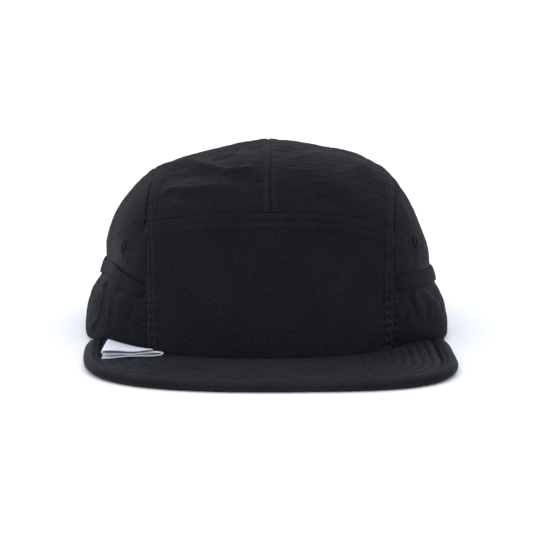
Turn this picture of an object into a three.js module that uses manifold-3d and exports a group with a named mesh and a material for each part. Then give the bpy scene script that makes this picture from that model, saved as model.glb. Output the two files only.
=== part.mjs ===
// A five panel camp cap in crinkled black cloth: a front panel, two top panels and two side panels, a short
// flat peak with a padded edge, a strap drawn round the sides and back through a slider, two sewn eyelets and
// a folded white label. Millimetres, +Z up. The cap stands on its rim and peak, the peak points along -Y, and
// +X is the wearer's left.
import * as THREE from "three";
import { mergeVertices } from "three/addons/utils/BufferGeometryUtils.js";
import Module from "manifold-3d";

const wasm = await Module();
wasm.setup();

// Driving sizes
const seamGap = 0.4; // between two panels that are sewn edge to edge
const restGap = 0.3; // between a piece and what it lies on

const crown = {
  height: 94,
  halfWidth: 90,
  frontReach: 97,
  backReach: 101,
  wall: 1.4,
  planPower: 2.25, // 2 is an ellipse, more is squarer
  sidePower: 2.15,
  frontPower: 2.65,
  heartHeight: 12, // of the point inside the cap that the cloth's thickness and folds point away from
  foldDepth: 4,
};
const frontPanel = { halfWidth: 60, height: 71.5, cornerDrop: 11.4, cornerTilt: 2.4, cornerPower: 2.6 };
const topPanel = { lean: 3.8, halfWidthAtTop: 57, halfWidthAtBack: 46 };
const sidePanel = { cornerOver: 152 }; // degrees over the crown, from the front, of its upper back corner
const peak = {
  length: 54.8,
  halfWidth: 89.3,
  sideShift: -1.2, // of the peak's sides towards +X
  frontShift: 16.5, // and of its front
  plateThickness: 4.2,
  edgeThickness: 5.6,
  edgeWidth: 8,
  widestSetback: 12, // from the crown's front back to where the peak is widest
  frontPower: 2.85,
  endPower: 2,
  endTurn: 68, // degrees round the crown from its front to the peak's end
  taperTurn: 14,
  taperTilt: 4, // more on the left
  tipSize: 1.2,
};
const strap = { width: 6.8, thickness: 1.2, height: 34, gap: 1.1, pull: 2.6, reach: 10 };
const slider = { length: 9, wall: 1.4, clearance: 0.45 };
const eyelet = { turn: 59, height: 50, hole: 1.5, barrel: 2.1, flange: 3.5, rise: 0.8, gap: 0.6 };
const label = { width: 30, frontInset: 3, frontTurn: 10, sideTurn: 4, ply: 1, stack: 4.8, seamStack: 3.8 };

// Folds and dents of the soft crown. turn and rise are the place in degrees, round from the front towards +X
// and up from the rim. heading is in degrees, 0 level and 90 straight up. long and wide are shares of the
// crown's half width, and lift is a share of its fold depth.
const folds = [
  { turn: 82, rise: 45, heading: 0, long: 0.62, wide: 0.28, lift: 1.4 },
  { turn: 65, rise: 53, heading: 5, long: 0.45, wide: 0.08, lift: 0.25 },
  { turn: 80, rise: -3, heading: 0, long: 0.45, wide: 0.17, lift: 0.45 },
  { turn: -88, rise: 44, heading: 0, long: 0.45, wide: 0.25, lift: 0.5 },
  { turn: 88, rise: 60, heading: 0, long: 0.35, wide: 0.12, lift: 0.35 },
  { turn: 67, rise: -5, heading: 0, long: 0.17, wide: 0.13, lift: 0.6 },
  { turn: 46, rise: -5, heading: 0, long: 0.2, wide: 0.2, lift: -0.6 },
  { turn: -90, rise: 72, heading: 0, long: 0.35, wide: 0.18, lift: -1.35 },
  { turn: -84, rise: 58, heading: 32, long: 0.2, wide: 0.07, lift: 0.4 },
  { turn: -50, rise: 61, heading: -15, long: 0.24, wide: 0.07, lift: 0.35 },
  { turn: -38, rise: 54, heading: 0, long: 0.3, wide: 0.07, lift: -0.3 },
  { turn: -36, rise: 48, heading: 5, long: 0.3, wide: 0.07, lift: 0.35 },
  { turn: -82, rise: 17, heading: 8, long: 0.42, wide: 0.2, lift: -1.45 },
  { turn: 165, rise: 38, heading: 10, long: 0.3, wide: 0.12, lift: -0.45 },
  { turn: -160, rise: 50, heading: 20, long: 0.3, wide: 0.1, lift: 0.35 },
];

// The strap round the crown: turn in degrees, height as a share of the strap's own, and pull as a share of
// how deep it draws the cloth in.
const strapLine = [
  { turn: -180, height: 0.85, pull: 0.7 },
  { turn: -140, height: 0.78, pull: 1.1 },
  { turn: -105, height: 0.85, pull: 1.2 },
  { turn: -85, height: 1, pull: 0.8 },
  { turn: -67, height: 1.075, pull: 0.85 },
  { turn: -53, height: 1.035, pull: 0.8 },
  { turn: -41, height: 0.985, pull: 0.2 },
  { turn: 41, height: 1.04, pull: 0.2 },
  { turn: 59, height: 0.985, pull: 0.75 },
  { turn: 75, height: 0.9, pull: 0.85 },
  { turn: 90, height: 0.81, pull: 0.9 },
  { turn: 115, height: 0.73, pull: 1 },
  { turn: 180, height: 0.85, pull: 0.7 },
];

// The peak's section, out from the crown. plate and edge are shares of the flat part's and the padded edge's
// widths, and the top is so much of the plate's thickness and so much of the edge's.
const peakSection = [
  { plate: 0, edge: 0, plateTop: 1, edgeTop: 0, under: 0 },
  { plate: 0.3, edge: 0, plateTop: 1, edgeTop: 0, under: 0 },
  { plate: 0.65, edge: 0, plateTop: 1, edgeTop: 0, under: 0 },
  { plate: 0.97, edge: 0, plateTop: 1, edgeTop: 0, under: 0 },
  { plate: 1, edge: 0.05, plateTop: 0.9, edgeTop: 0, under: 0 },
  { plate: 1, edge: 0.22, plateTop: 0.3, edgeTop: 0.68, under: 0 },
  { plate: 1, edge: 0.5, plateTop: 0, edgeTop: 1, under: 0 },
  { plate: 1, edge: 0.76, plateTop: 0, edgeTop: 0.95, under: 0.04 },
  { plate: 1, edge: 0.93, plateTop: 0, edgeTop: 0.8, under: 0.18 },
  { plate: 1, edge: 1, plateTop: 0, edgeTop: 0.55, under: 0.44 },
];

// The middle line of the label's folded ribbon, from its under end to its upper, as shares of its width and
// of the way from its lowest ply to its highest.
const labelLine = [
  { along: 0.02, up: 0 },
  { along: 0.45, up: 0 },
  { along: 0.94, up: 0.05 },
  { along: 0.99, up: 0.22 },
  { along: 0.94, up: 0.4 },
  { along: 0.5, up: 0.46 },
  { along: 0.07, up: 0.52 },
  { along: 0.02, up: 0.74 },
  { along: 0.07, up: 0.98 },
  { along: 0.45, up: 0.96 },
  { along: 0.8, up: 0.92 },
];

// How many steps the meshes take
const steps = { across: 12, front: 12, over: 16, down: 14, peak: 48, strap: 72, round: 16, label: 4 };
const peakFrontShare = 0.76; // of the peak's steps, for the edge in front of its widest part

const heart = new THREE.Vector3(0, 0, crown.heartHeight);
const radians = THREE.MathUtils.degToRad;
const degrees = THREE.MathUtils.radToDeg;
const mix = THREE.MathUtils.lerp;
const ease = (low, high, value) => THREE.MathUtils.smoothstep(value, low, high);
const vector = (x, y, z) => new THREE.Vector3(x, y, z);
const shares = (number) => Array.from({ length: number + 1 }, (_, i) => i / number);
const turnOf = (p) => degrees(Math.atan2(p.x, -p.y));

// A column of the strap's table at a turn, eased between the two rows beside it.
function strapSlope(i, column) {
  const last = strapLine.length - 1;
  const [before, after] = [strapLine[i === 0 ? last - 1 : i - 1], strapLine[i === last ? 1 : i + 1]];
  const run = after.turn - before.turn;
  return (after[column] - before[column]) / (run > 0 ? run : run + 360);
}

function strapValue(turn, column) {
  const after = Math.max(1, strapLine.findIndex((row) => row.turn >= turn));
  const [a, b] = [strapLine[after - 1], strapLine[after]];
  const span = b.turn - a.turn;
  const t = (turn - a.turn) / span;
  const [leaving, arriving] = [after - 1, after].map((i) => strapSlope(i, column) * span);
  const bend = leaving * t * (1 - t) ** 2 - arriving * t * t * (1 - t);
  return mix(a[column], b[column], t * t * (3 - 2 * t)) + bend;
}
const strapHeight = (turn) => strap.height * strapValue(turn, "height");

// The bare crown, without folds

// Below zero inside the crown, which is a superellipsoid, squarer in front than at its sides.
function crownFill(p) {
  const reach = p.y < 0 ? crown.frontReach : crown.backReach;
  const facing = Math.max(0, -p.y / (Math.hypot(p.x, p.y) || 1)) ** 2;
  const power = mix(crown.sidePower, crown.frontPower, facing);
  const [x, y, z] = [Math.abs(p.x) / crown.halfWidth, Math.abs(p.y) / reach, Math.max(0, p.z) / crown.height];
  return (x ** crown.planPower + y ** crown.planPower) ** (power / crown.planPower) + z ** power - 1;
}

// Where a line from inside meets the crown.
function meet(from, direction) {
  let [near, far] = [0, 2 * (crown.backReach + crown.height)];
  const p = vector(0, 0, 0);
  for (let halving = 0; halving < 40; halving++) {
    const middle = (near + far) / 2;
    p.copy(direction).multiplyScalar(middle).add(from);
    if (crownFill(p) < 0) near = middle;
    else far = middle;
  }
  return p;
}
const frontPoint = (x, z) => meet(vector(x, 0, z), vector(0, -1, 0));
const backPoint = (x, z) => meet(vector(x, 0, z), vector(0, 1, 0));
function overPoint(x, over) {
  return meet(vector(x, 0, crown.heartHeight), vector(0, -Math.cos(over), Math.sin(over)));
}
function levelPoint(turn, z) {
  return meet(vector(0, 0, z), vector(Math.sin(radians(turn)), -Math.cos(radians(turn)), 0));
}

// The cloth: bare points moved by the folds and by the strap

const foldPlaces = folds.map((fold) => {
  const [turn, rise, heading] = [fold.turn, fold.rise, fold.heading].map(radians);
  const out = vector(Math.sin(turn) * Math.cos(rise), -Math.cos(turn) * Math.cos(rise), Math.sin(rise));
  const level = vector(0, 0, 1).cross(out).normalize();
  const run = level.clone().multiplyScalar(Math.cos(heading));
  run.addScaledVector(out.clone().cross(level), Math.sin(heading));
  return { fold, centre: meet(heart, out), run };
});

function foldLift(p) {
  let lift = 0;
  for (const { fold, centre, run } of foldPlaces) {
    const away = p.clone().sub(centre);
    const ahead = away.dot(run);
    const aside = Math.sqrt(Math.max(0, away.lengthSq() - ahead * ahead));
    const fade = (ahead / (fold.long * crown.halfWidth)) ** 2 + (aside / (fold.wide * crown.halfWidth)) ** 2;
    lift += fold.lift * crown.foldDepth * Math.exp(-fade);
  }
  const turn = turnOf(p);
  const off = Math.abs(p.z - strapHeight(turn)) / strap.reach;
  const onWall = ease(0, crown.halfWidth / 2, Math.hypot(p.x, p.y));
  return lift - onWall * strap.pull * strapValue(turn, "pull") * Math.exp(-(off ** 3));
}

// A bare point as cloth, so deep under the cloth's face. Near the rim it moves level, which keeps the rim
// down.
function clothe(p, depth) {
  const out = p.clone().sub(heart);
  out.setZ(Math.max(0, out.z)).normalize();
  return out.multiplyScalar(foldLift(p) - depth).add(p);
}

// A frame on the cloth's face: x runs level round the crown, y up along it and z out of it.
function placeOn(turn, z, lift) {
  const skin = (t, h) => clothe(levelPoint(t, h), 0);
  const round = skin(turn + 1, z).sub(skin(turn - 1, z)).normalize();
  const out = round.clone().cross(skin(turn, z + 1).sub(skin(turn, z - 1))).normalize();
  const place = new THREE.Matrix4().makeBasis(round, out.clone().cross(round), out);
  return place.setPosition(skin(turn, z).addScaledVector(out, lift));
}

// Closed solids

// The faces of a geometry all turned to point out.
function facingOut(geometry) {
  for (const name of ["normal", "uv"]) geometry.deleteAttribute(name);
  const merged = mergeVertices(geometry, 1e-4);
  const index = merged.index;
  const corner = (i) => vector(0, 0, 0).fromBufferAttribute(merged.getAttribute("position"), index.getX(i));
  let volume = 0;
  for (let i = 0; i < index.count; i += 3) volume += corner(i).dot(corner(i + 1).cross(corner(i + 2)));
  if (volume < 0) index.array.reverse();
  merged.computeVertexNormals();
  return merged;
}

// A sheet with thickness, from two grids of points, one for each face.
function shell(face, back) {
  const [rows, columns] = [face.length, face[0].length];
  const [lastRow, lastColumn] = [rows - 1, columns - 1];
  const at = (side, row, column) => (side * rows + row) * columns + column;
  const faces = [];
  const quad = (a, b, c, d) => faces.push(a, b, c, a, c, d);
  for (let row = 0; row < lastRow; row++)
    for (let column = 0; column < lastColumn; column++) {
      quad(at(0, row, column), at(0, row, column + 1), at(0, row + 1, column + 1), at(0, row + 1, column));
      quad(at(1, row, column), at(1, row + 1, column), at(1, row + 1, column + 1), at(1, row, column + 1));
    }
  for (let i = 0; i < lastColumn; i++) {
    quad(at(0, 0, i), at(1, 0, i), at(1, 0, i + 1), at(0, 0, i + 1));
    quad(at(0, lastRow, i + 1), at(1, lastRow, i + 1), at(1, lastRow, i), at(0, lastRow, i));
  }
  for (let i = 0; i < lastRow; i++) {
    quad(at(0, i + 1, 0), at(1, i + 1, 0), at(1, i, 0), at(0, i, 0));
    quad(at(0, i, lastColumn), at(1, i, lastColumn), at(1, i + 1, lastColumn), at(0, i + 1, lastColumn));
  }
  const geometry = new THREE.BufferGeometry().setFromPoints([...face.flat(), ...back.flat()]);
  return facingOut(geometry.setIndex(faces));
}

// A panel of cloth. pointAt gives its bare points from shares across and up.
function clothPanel(columns, rows, pointAt) {
  const bare = shares(rows).map((high) => shares(columns).map((across) => pointAt(across, high)));
  const [face, back] = [0, crown.wall].map((depth) => bare.map((row) => row.map((p) => clothe(p, depth))));
  return shell(face, back);
}

function toManifold(geometry) {
  const vertProperties = new Float32Array(geometry.getAttribute("position").array);
  const mesh = new wasm.Mesh({ numProp: 3, vertProperties, triVerts: new Uint32Array(geometry.index.array) });
  return new wasm.Manifold(mesh);
}
function fromManifold(solid) {
  const mesh = solid.getMesh();
  const geometry = new THREE.BufferGeometry();
  geometry.setAttribute("position", new THREE.BufferAttribute(new Float32Array(mesh.vertProperties), 3));
  geometry.setIndex(new THREE.BufferAttribute(new Uint32Array(mesh.triVerts), 1));
  return facingOut(geometry);
}

// Seams that neighbours share

const plateTop = (turn) => {
  const start = peak.endTurn - peak.taperTurn - Math.sign(turn) * peak.taperTilt;
  const taper = ease(start, peak.endTurn, Math.abs(turn));
  return mix(peak.plateThickness, peak.tipSize, taper);
};
// The crown's rim stands on the peak in front and on the table behind it.
const rimHeight = (turn) => {
  const past = ease(peak.endTurn + 1, peak.endTurn + peak.taperTurn - peak.taperTilt, Math.abs(turn));
  return mix(plateTop(turn) + restGap, 0, past);
};
const frontTop = (x) => {
  const sideways = Math.abs(x) / frontPanel.halfWidth;
  const drop = frontPanel.cornerDrop + Math.sign(x) * frontPanel.cornerTilt;
  return frontPanel.height - drop * sideways ** frontPanel.cornerPower;
};
const frontRim = (x) => rimHeight(turnOf(frontPoint(x, 0)));

// Angles over the crown, from the front, of the front panel's top seam and of the back rim.
const overOf = (p) => Math.atan2(p.z - crown.heartHeight, -p.y);
const startOver = (x) => overOf(frontPoint(x, frontTop(x)));
const endOver = (x) => overOf(backPoint(x, 0)) + 2 * Math.PI;

function topHalfWidth(over, side) {
  const rising = ease(startOver(side * frontPanel.halfWidth), Math.PI / 2, over);
  const falling = ease(Math.PI / 2, Math.PI, over);
  return mix(mix(frontPanel.halfWidth, topPanel.halfWidthAtTop, rising), topPanel.halfWidthAtBack, falling);
}

// How far the top panels' seams lean towards +X over the crown.
function topLean(over) {
  return topPanel.lean * ease(startOver(0), Math.PI / 2, over) * (1 - ease(Math.PI / 2, Math.PI, over));
}

// Where the seam between top and side has its points: over the crown to the side panel's corner, then down.
function seamOvers(side) {
  const [start, end] = [startOver(side * frontPanel.halfWidth), endOver(topPanel.halfWidthAtBack)];
  const corner = radians(sidePanel.cornerOver);
  const upper = shares(steps.over).map((share) => mix(start, corner, share));
  const lower = shares(steps.down).map((share) => mix(corner, end, share));
  return { start, end, upper, lower };
}

// Panels

function makeFrontPanel() {
  const halfWidth = frontPanel.halfWidth - seamGap / 2;
  return clothPanel(2 * steps.across, steps.front, (across, high) => {
    const x = mix(-halfWidth, halfWidth, across);
    return frontPoint(x, mix(frontRim(x), frontTop(x) - seamGap / 2, high));
  });
}

function makeTopPanel(side) {
  const { start, end, upper, lower } = seamOvers(side);
  const overs = [...upper, ...lower.slice(1)];
  const gap = seamGap / 2;
  return clothPanel(steps.across, overs.length - 1, (across, back) => {
    const seamOver = overs[Math.round(back * (overs.length - 1))];
    const progress = (seamOver - start) / (end - start);
    const [x, first, last] = [topHalfWidth(seamOver, side), frontPanel.halfWidth, topPanel.halfWidthAtBack].map(
      (halfWidth) => mix(gap, halfWidth - gap, across),
    );
    const over = mix(startOver(side * first) + seamGap / crown.frontReach, endOver(last), progress);
    return overPoint(side * x + topLean(over), over);
  });
}

// A side panel lies between the front seam, the rim, and the seam to the top panel, which turns down behind.
function makeSidePanel(side) {
  const { upper, lower } = seamOvers(side);
  const gap = seamGap / 2;
  const x = frontPanel.halfWidth + gap;
  const front = (high) => frontPoint(x, mix(frontRim(x), frontTop(side * frontPanel.halfWidth), high));
  const topSeam = (over) => overPoint(topHalfWidth(over, side) + gap + side * topLean(over), over);
  const top = (across) => topSeam(upper[Math.round(across * steps.over)]);
  const back = (high) => topSeam(lower[steps.down - Math.round(high * steps.down)]);
  const [rimStart, rimEnd] = [turnOf(front(0)), turnOf(back(0))];
  const rimAt = (turn) => levelPoint(turn, rimHeight(side * turn));
  const rim = (across) => rimAt(mix(rimStart, rimEnd, across));
  const panel = clothPanel(steps.over, steps.down, (across, high) => {
    const p = vector(0, 0, 0).addScaledVector(rim(across), 1 - high).addScaledVector(top(across), high);
    p.addScaledVector(front(high), 1 - across).addScaledVector(back(high), across);
    p.addScaledVector(front(0), (across - 1) * (1 - high)).addScaledVector(front(1), (across - 1) * high);
    p.addScaledVector(back(0), -across * (1 - high)).addScaledVector(back(1), -across * high);
    const inside = across > 0 && across < 1 && high > 0 && high < 1;
    const bare = inside ? meet(heart, p.sub(heart).normalize()) : p;
    return bare.setX(side * bare.x);
  });
  const radius = eyelet.barrel + restGap;
  const drill = new THREE.CylinderGeometry(radius, radius, 8 * crown.wall, steps.round);
  drill.rotateX(Math.PI / 2).applyMatrix4(placeOn(side * eyelet.turn, eyelet.height, 0));
  return fromManifold(toManifold(panel).subtract(toManifold(facingOut(drill))));
}

// A sewn eyelet: a barrel through the cloth with a flange on each face.
function makeEyelet(side) {
  const outside = eyelet.gap;
  const inside = -crown.wall - eyelet.gap;
  const ring = [
    [eyelet.hole, inside - eyelet.rise],
    [eyelet.flange, inside - eyelet.rise],
    [eyelet.flange, inside],
    [eyelet.barrel, inside],
    [eyelet.barrel, outside],
    [eyelet.flange, outside],
    [eyelet.flange, outside + eyelet.rise / 2],
    [eyelet.flange - eyelet.rise / 2, outside + eyelet.rise],
    [eyelet.hole, outside + eyelet.rise],
    [eyelet.hole, inside - eyelet.rise],
  ];
  const lathe = new THREE.LatheGeometry(ring.map((point) => new THREE.Vector2(...point)), steps.round);
  return facingOut(lathe.rotateX(Math.PI / 2).applyMatrix4(placeOn(side * eyelet.turn, eyelet.height, 0)));
}

// Peak

// The peak's outer edge, from its front middle (0) to an end (-1 or 1): a squarish quarter oval, then a turn
// in to the crown.
function peakEdge(run, end) {
  const middleY = peak.widestSetback - crown.frontReach;
  const share = Math.abs(run) / peakFrontShare;
  const halfWidth = peak.halfWidth + Math.sign(run) * peak.sideShift;
  if (share > 1) {
    const past = (share - 1) / (1 / peakFrontShare - 1);
    const x = halfWidth - (halfWidth - end.x) * past ** peak.endPower;
    return vector(Math.sign(run) * x, mix(middleY, end.y, past), 0);
  }
  const angle = share * (Math.PI / 2);
  const [x, y] = [Math.sin(angle) / halfWidth, Math.cos(angle) / (peak.length + peak.widestSetback)];
  const radius = (x ** peak.frontPower + y ** peak.frontPower) ** (-1 / peak.frontPower);
  const shift = peak.frontShift * Math.cos(angle) ** 2;
  return vector(Math.sign(run) * Math.sin(angle) * radius + shift, middleY - Math.cos(angle) * radius, 0);
}

function makePeak() {
  const rootAt = (turn) => clothe(levelPoint(turn, rimHeight(turn)), crown.wall).setZ(0);
  const end = rootAt(peak.endTurn);
  const sections = shares(steps.peak).map((share) => {
    const run = mix(-1, 1, share);
    const turn = run * peak.endTurn;
    const root = rootAt(turn);
    const out = peakEdge(run, end).sub(root);
    const width = Math.max(out.length(), peak.tipSize);
    if (out.length() < peak.tipSize) out.copy(root);
    out.normalize();
    const edgeWidth = Math.min(peak.edgeWidth, width / 2);
    const padded = ease(peak.edgeWidth / 4, 2 * peak.edgeWidth, width);
    const edgeTop = mix(plateTop(turn), peak.edgeThickness, padded);
    return peakSection.map((row) => {
      const reach = row.plate * (width - edgeWidth) + row.edge * edgeWidth;
      const top = row.plateTop * plateTop(turn) + row.edgeTop * edgeTop;
      const place = root.clone().addScaledVector(out, reach);
      return { top: place.clone().setZ(top), under: place.setZ(row.under * edgeTop) };
    });
  });
  const grid = (name) => sections.map((section) => section.map((point) => point[name]));
  return shell(grid("top"), grid("under"));
}

// Strap and slider

// The strap stands off the crown where it passes through its slider.
function strapLift(turn) {
  const half = degrees(slider.length / 2 / crown.backReach);
  const passing = 1 - ease(1.3 * half, 5 * half, 180 - Math.abs(turn));
  return strap.gap + passing * (slider.wall + slider.clearance);
}

function makeStrap() {
  const start = turnOf(frontPoint(frontPanel.halfWidth + strap.gap, strap.height));
  const turns = shares(steps.strap).map((share) => {
    const turn = mix(start, 360 - start, share);
    return turn > 180 ? turn - 360 : turn;
  });
  const places = turns.map((turn) => placeOn(turn, strapHeight(turn), strapLift(turn)));
  const [face, back] = [strap.thickness, 0].map((high) =>
    [-1, 1].map((row) => places.map((place) => vector(0, (row * strap.width) / 2, high).applyMatrix4(place))),
  );
  return shell(face, back);
}

function rectangle(Path, halfWidth, halfHeight) {
  const path = new Path().moveTo(-halfWidth, -halfHeight).lineTo(halfWidth, -halfHeight);
  return path.lineTo(halfWidth, halfHeight).lineTo(-halfWidth, halfHeight).lineTo(-halfWidth, -halfHeight);
}

// A plain loop round the strap at the middle of the back.
function makeSlider() {
  const [deep, tall] = [strap.thickness, strap.width].map((size) => size / 2 + slider.clearance);
  const frame = rectangle(THREE.Shape, deep + slider.wall, tall + slider.wall);
  frame.holes.push(rectangle(THREE.Path, deep, tall));
  const loop = new THREE.ExtrudeGeometry(frame, { depth: slider.length, bevelEnabled: false });
  loop.translate(0, 0, -slider.length / 2).rotateY(-Math.PI / 2);
  return facingOut(loop.applyMatrix4(placeOn(180, strapHeight(180), strapLift(180) + strap.thickness / 2)));
}

// Label

// A ribbon folded in three plies on the peak's right end, running back to the crown that it is sewn under.
function makeLabel() {
  const left = peak.edgeWidth - peak.halfWidth + 1;
  const frontY = label.frontInset - crown.frontReach;
  const grids = [1, -1].map((face) =>
    labelLine.map((row, i) => {
      const before = labelLine[i - 1] ?? row;
      const after = labelLine[i + 1] ?? row;
      return shares(steps.label).map((back) => {
        const rise = mix(label.stack, label.seamStack, back) - label.ply;
        const slope = Math.atan2((after.up - before.up) * rise, (after.along - before.along) * label.width);
        const along = row.along * label.width - (Math.sin(slope) * face * label.ply) / 2;
        const height = row.up * rise + label.ply / 2 + (Math.cos(slope) * face * label.ply) / 2;
        const z = peak.plateThickness + restGap + height;
        const start = vector(left + along, frontY + along * Math.tan(radians(label.frontTurn)), z);
        const run = vector(Math.sin(radians(label.sideTurn)), Math.cos(radians(label.sideTurn)), 0);
        return start.addScaledVector(run, back * labelDepth(start, run));
      });
    }),
  );
  return shell(...grids);
}

// How far a point in front of the crown can go in a level direction and stay clear of the crown.
function labelDepth(start, run) {
  const clearance = 2 * seamGap;
  let [near, far] = [0, Math.abs(start.y)];
  for (let halving = 0; halving < 30; halving++) {
    const middle = (near + far) / 2;
    const p = start.clone().addScaledVector(run, middle);
    if (crownFill(p.addScaledVector(p.clone().sub(heart).normalize(), -clearance)) > 0) near = middle;
    else far = middle;
  }
  return near;
}

// The cap

const cloth = { color: 0x1d1f23, roughness: 0.85, metalness: 0 };
const webbing = { color: 0x25272b, roughness: 0.6, metalness: 0 };
const pieces = [
  ["front_panel", makeFrontPanel(), cloth],
  ["top_panel_left", makeTopPanel(1), cloth],
  ["top_panel_right", makeTopPanel(-1), cloth],
  ["side_panel_left", makeSidePanel(1), cloth],
  ["side_panel_right", makeSidePanel(-1), cloth],
  ["brim", makePeak(), { color: 0x222428, roughness: 0.85, metalness: 0 }],
  ["strap", makeStrap(), webbing],
  ["strap_slider", makeSlider(), { color: 0x141416, roughness: 0.45, metalness: 0 }],
  ["eyelet_left", makeEyelet(1), webbing],
  ["eyelet_right", makeEyelet(-1), webbing],
  ["brim_label", makeLabel(), { color: 0xd6d8e0, roughness: 0.6, metalness: 0 }],
];

const cap = new THREE.Group();
for (const [name, geometry, finish] of pieces) {
  const mesh = new THREE.Mesh(geometry, new THREE.MeshStandardMaterial(finish));
  mesh.name = name;
  cap.add(mesh);
}

// The origin is on the table, under the middle of the whole cap.
const bounds = new THREE.Box3().setFromObject(cap);
const middle = bounds.getCenter(vector(0, 0, 0));
cap.position.set(-middle.x, -middle.y, -bounds.min.z);

export default cap;
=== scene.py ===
# A five panel camp cap in crinkled black nylon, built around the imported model. Sizes in the dictionaries are
# in millimetres, measured from the middle of the crown's rim; the peak points along -Y.
from math import atan2, cos, degrees, pi, radians, sin, tan

import bpy
import numpy as np
from mathutils import Matrix, Vector
from mathutils.kdtree import KDTree
from numpy.linalg import norm


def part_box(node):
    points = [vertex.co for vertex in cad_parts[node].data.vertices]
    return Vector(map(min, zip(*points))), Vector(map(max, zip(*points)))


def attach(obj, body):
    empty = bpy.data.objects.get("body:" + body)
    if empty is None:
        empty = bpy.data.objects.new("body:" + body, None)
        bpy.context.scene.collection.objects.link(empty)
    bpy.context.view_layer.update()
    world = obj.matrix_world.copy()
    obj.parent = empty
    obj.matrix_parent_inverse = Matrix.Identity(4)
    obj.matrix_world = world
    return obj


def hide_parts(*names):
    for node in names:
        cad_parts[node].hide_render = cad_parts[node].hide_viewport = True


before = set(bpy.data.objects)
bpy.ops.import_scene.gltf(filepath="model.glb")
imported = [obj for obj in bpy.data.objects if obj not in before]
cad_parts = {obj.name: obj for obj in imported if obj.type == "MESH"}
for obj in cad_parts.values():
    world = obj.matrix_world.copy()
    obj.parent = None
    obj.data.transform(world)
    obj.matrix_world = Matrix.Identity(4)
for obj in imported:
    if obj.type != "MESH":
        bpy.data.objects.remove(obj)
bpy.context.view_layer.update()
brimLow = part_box("brim")[0]
mm = 0.001  # a millimetre in metres
# how far the peak reaches past the crown's middle, to the cap's right and to the front
peakReach = {"side": 90.5, "front": 151.8}
shift = np.array([brimLow[0] * 1000 + peakReach["side"], brimLow[1] * 1000 + peakReach["front"], 0])

# Camera, stage and light

cameraPlace = {
    "target": (0.17, -30, 36.46), "distance": 1600, "elevation": 10.8, "azimuth": -2.8, "lens": 217.9,
    "nearest": 0.05, "farthest": 30,
}


def makeCamera():
    azimuth, elevation = radians(cameraPlace["azimuth"]), radians(cameraPlace["elevation"])
    level = cos(elevation)
    back = Vector((sin(azimuth) * level, -cos(azimuth) * level, sin(elevation)))
    target = Vector(cameraPlace["target"]) + Vector(shift)
    data = bpy.data.cameras.new("camera")
    data.lens = cameraPlace["lens"]
    data.clip_start, data.clip_end = cameraPlace["nearest"], cameraPlace["farthest"]
    camera = bpy.data.objects.new("camera", data)
    bpy.context.collection.objects.link(camera)
    camera.location = (target + back * cameraPlace["distance"]) * mm
    camera.rotation_euler = (-back).to_track_quat("-Z", "Y").to_euler()
    bpy.context.scene.camera = camera


makeCamera()
print("camera placed")


def deselect():
    bpy.ops.object.select_all(action="DESELECT")


def setMode(mode):
    bpy.ops.object.mode_set(mode=mode)


def addNode(tree, kind, settings=None, links=None):
    node = tree.nodes.new(kind)
    for name, value in (settings or {}).items():
        if isinstance(name, str) and hasattr(node, name):
            setattr(node, name, value)
        else:
            node.inputs[name].default_value = value
    for name, source in (links or {}).items():
        tree.links.new(source, node.inputs[name])
    return node


def colour(hexCode):
    parts = [int(hexCode[i : i + 2], 16) / 255 for i in (1, 3, 5)]
    return [p / 12.92 if p <= 0.04045 else ((p + 0.055) / 1.055) ** 2.4 for p in parts] + [1]


def newMaterial(name):
    material = bpy.data.materials.new(name)
    material.use_nodes = True
    material.node_tree.nodes.clear()
    return material, material.node_tree


stage = {
    "floorSize": 16, "floor": "#f5f5f6", "floorGrain": "#f8f8f8", "sky": "#f4f7ff",
    "skyLow": 1.02, "skyHigh": 1.55, "skyTilt": (-0.22, 0.1),
}


def makeStage():
    deselect()
    bpy.ops.mesh.primitive_plane_add(size=stage["floorSize"])
    floor = bpy.context.active_object
    floor.name = "floor"
    material, tree = newMaterial("paleStudioPaper")
    grain = addNode(tree, "ShaderNodeTexNoise", {"Scale": 30})
    tones = {"data_type": "RGBA", 6: colour(stage["floor"]), 7: colour(stage["floorGrain"])}
    tone = addNode(tree, "ShaderNodeMix", tones, {0: grain.outputs["Fac"]})
    shader = addNode(tree, "ShaderNodeBsdfPrincipled", {"Roughness": 0.9, "Specular IOR Level": 0.1},
                     {"Base Color": tone.outputs[2]})
    addNode(tree, "ShaderNodeOutputMaterial", links={"Surface": shader.outputs[0]})
    floor.data.materials.append(material)

    # a soft dome, brightest overhead and a little to the cap's right and back, before a white backdrop
    world = bpy.data.worlds.new("softStudio")
    bpy.context.scene.world = world
    world.use_nodes = True
    tree = world.node_tree
    tree.nodes.clear()
    place = addNode(tree, "ShaderNodeTexCoord")
    aim = Vector((*stage["skyTilt"], 1)).normalized()
    facing = addNode(tree, "ShaderNodeVectorMath", {"operation": "DOT_PRODUCT", 1: aim},
                     {0: place.outputs["Generated"]})
    strength = addNode(tree, "ShaderNodeMapRange",
                       {"interpolation_type": "SMOOTHSTEP", "From Min": -0.1, "From Max": 0.95,
                        "To Min": stage["skyLow"], "To Max": stage["skyHigh"]},
                       {"Value": facing.outputs["Value"]})
    sky = addNode(tree, "ShaderNodeBackground", {"Color": colour(stage["sky"])},
                  {"Strength": strength.outputs["Result"]})
    addNode(tree, "ShaderNodeOutputWorld", links={"Surface": sky.outputs[0]})
    bpy.context.scene.view_settings.view_transform = "Standard"


makeStage()
print("stage and light set")

# Shapes shared by the pieces, as in the part's source

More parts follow.
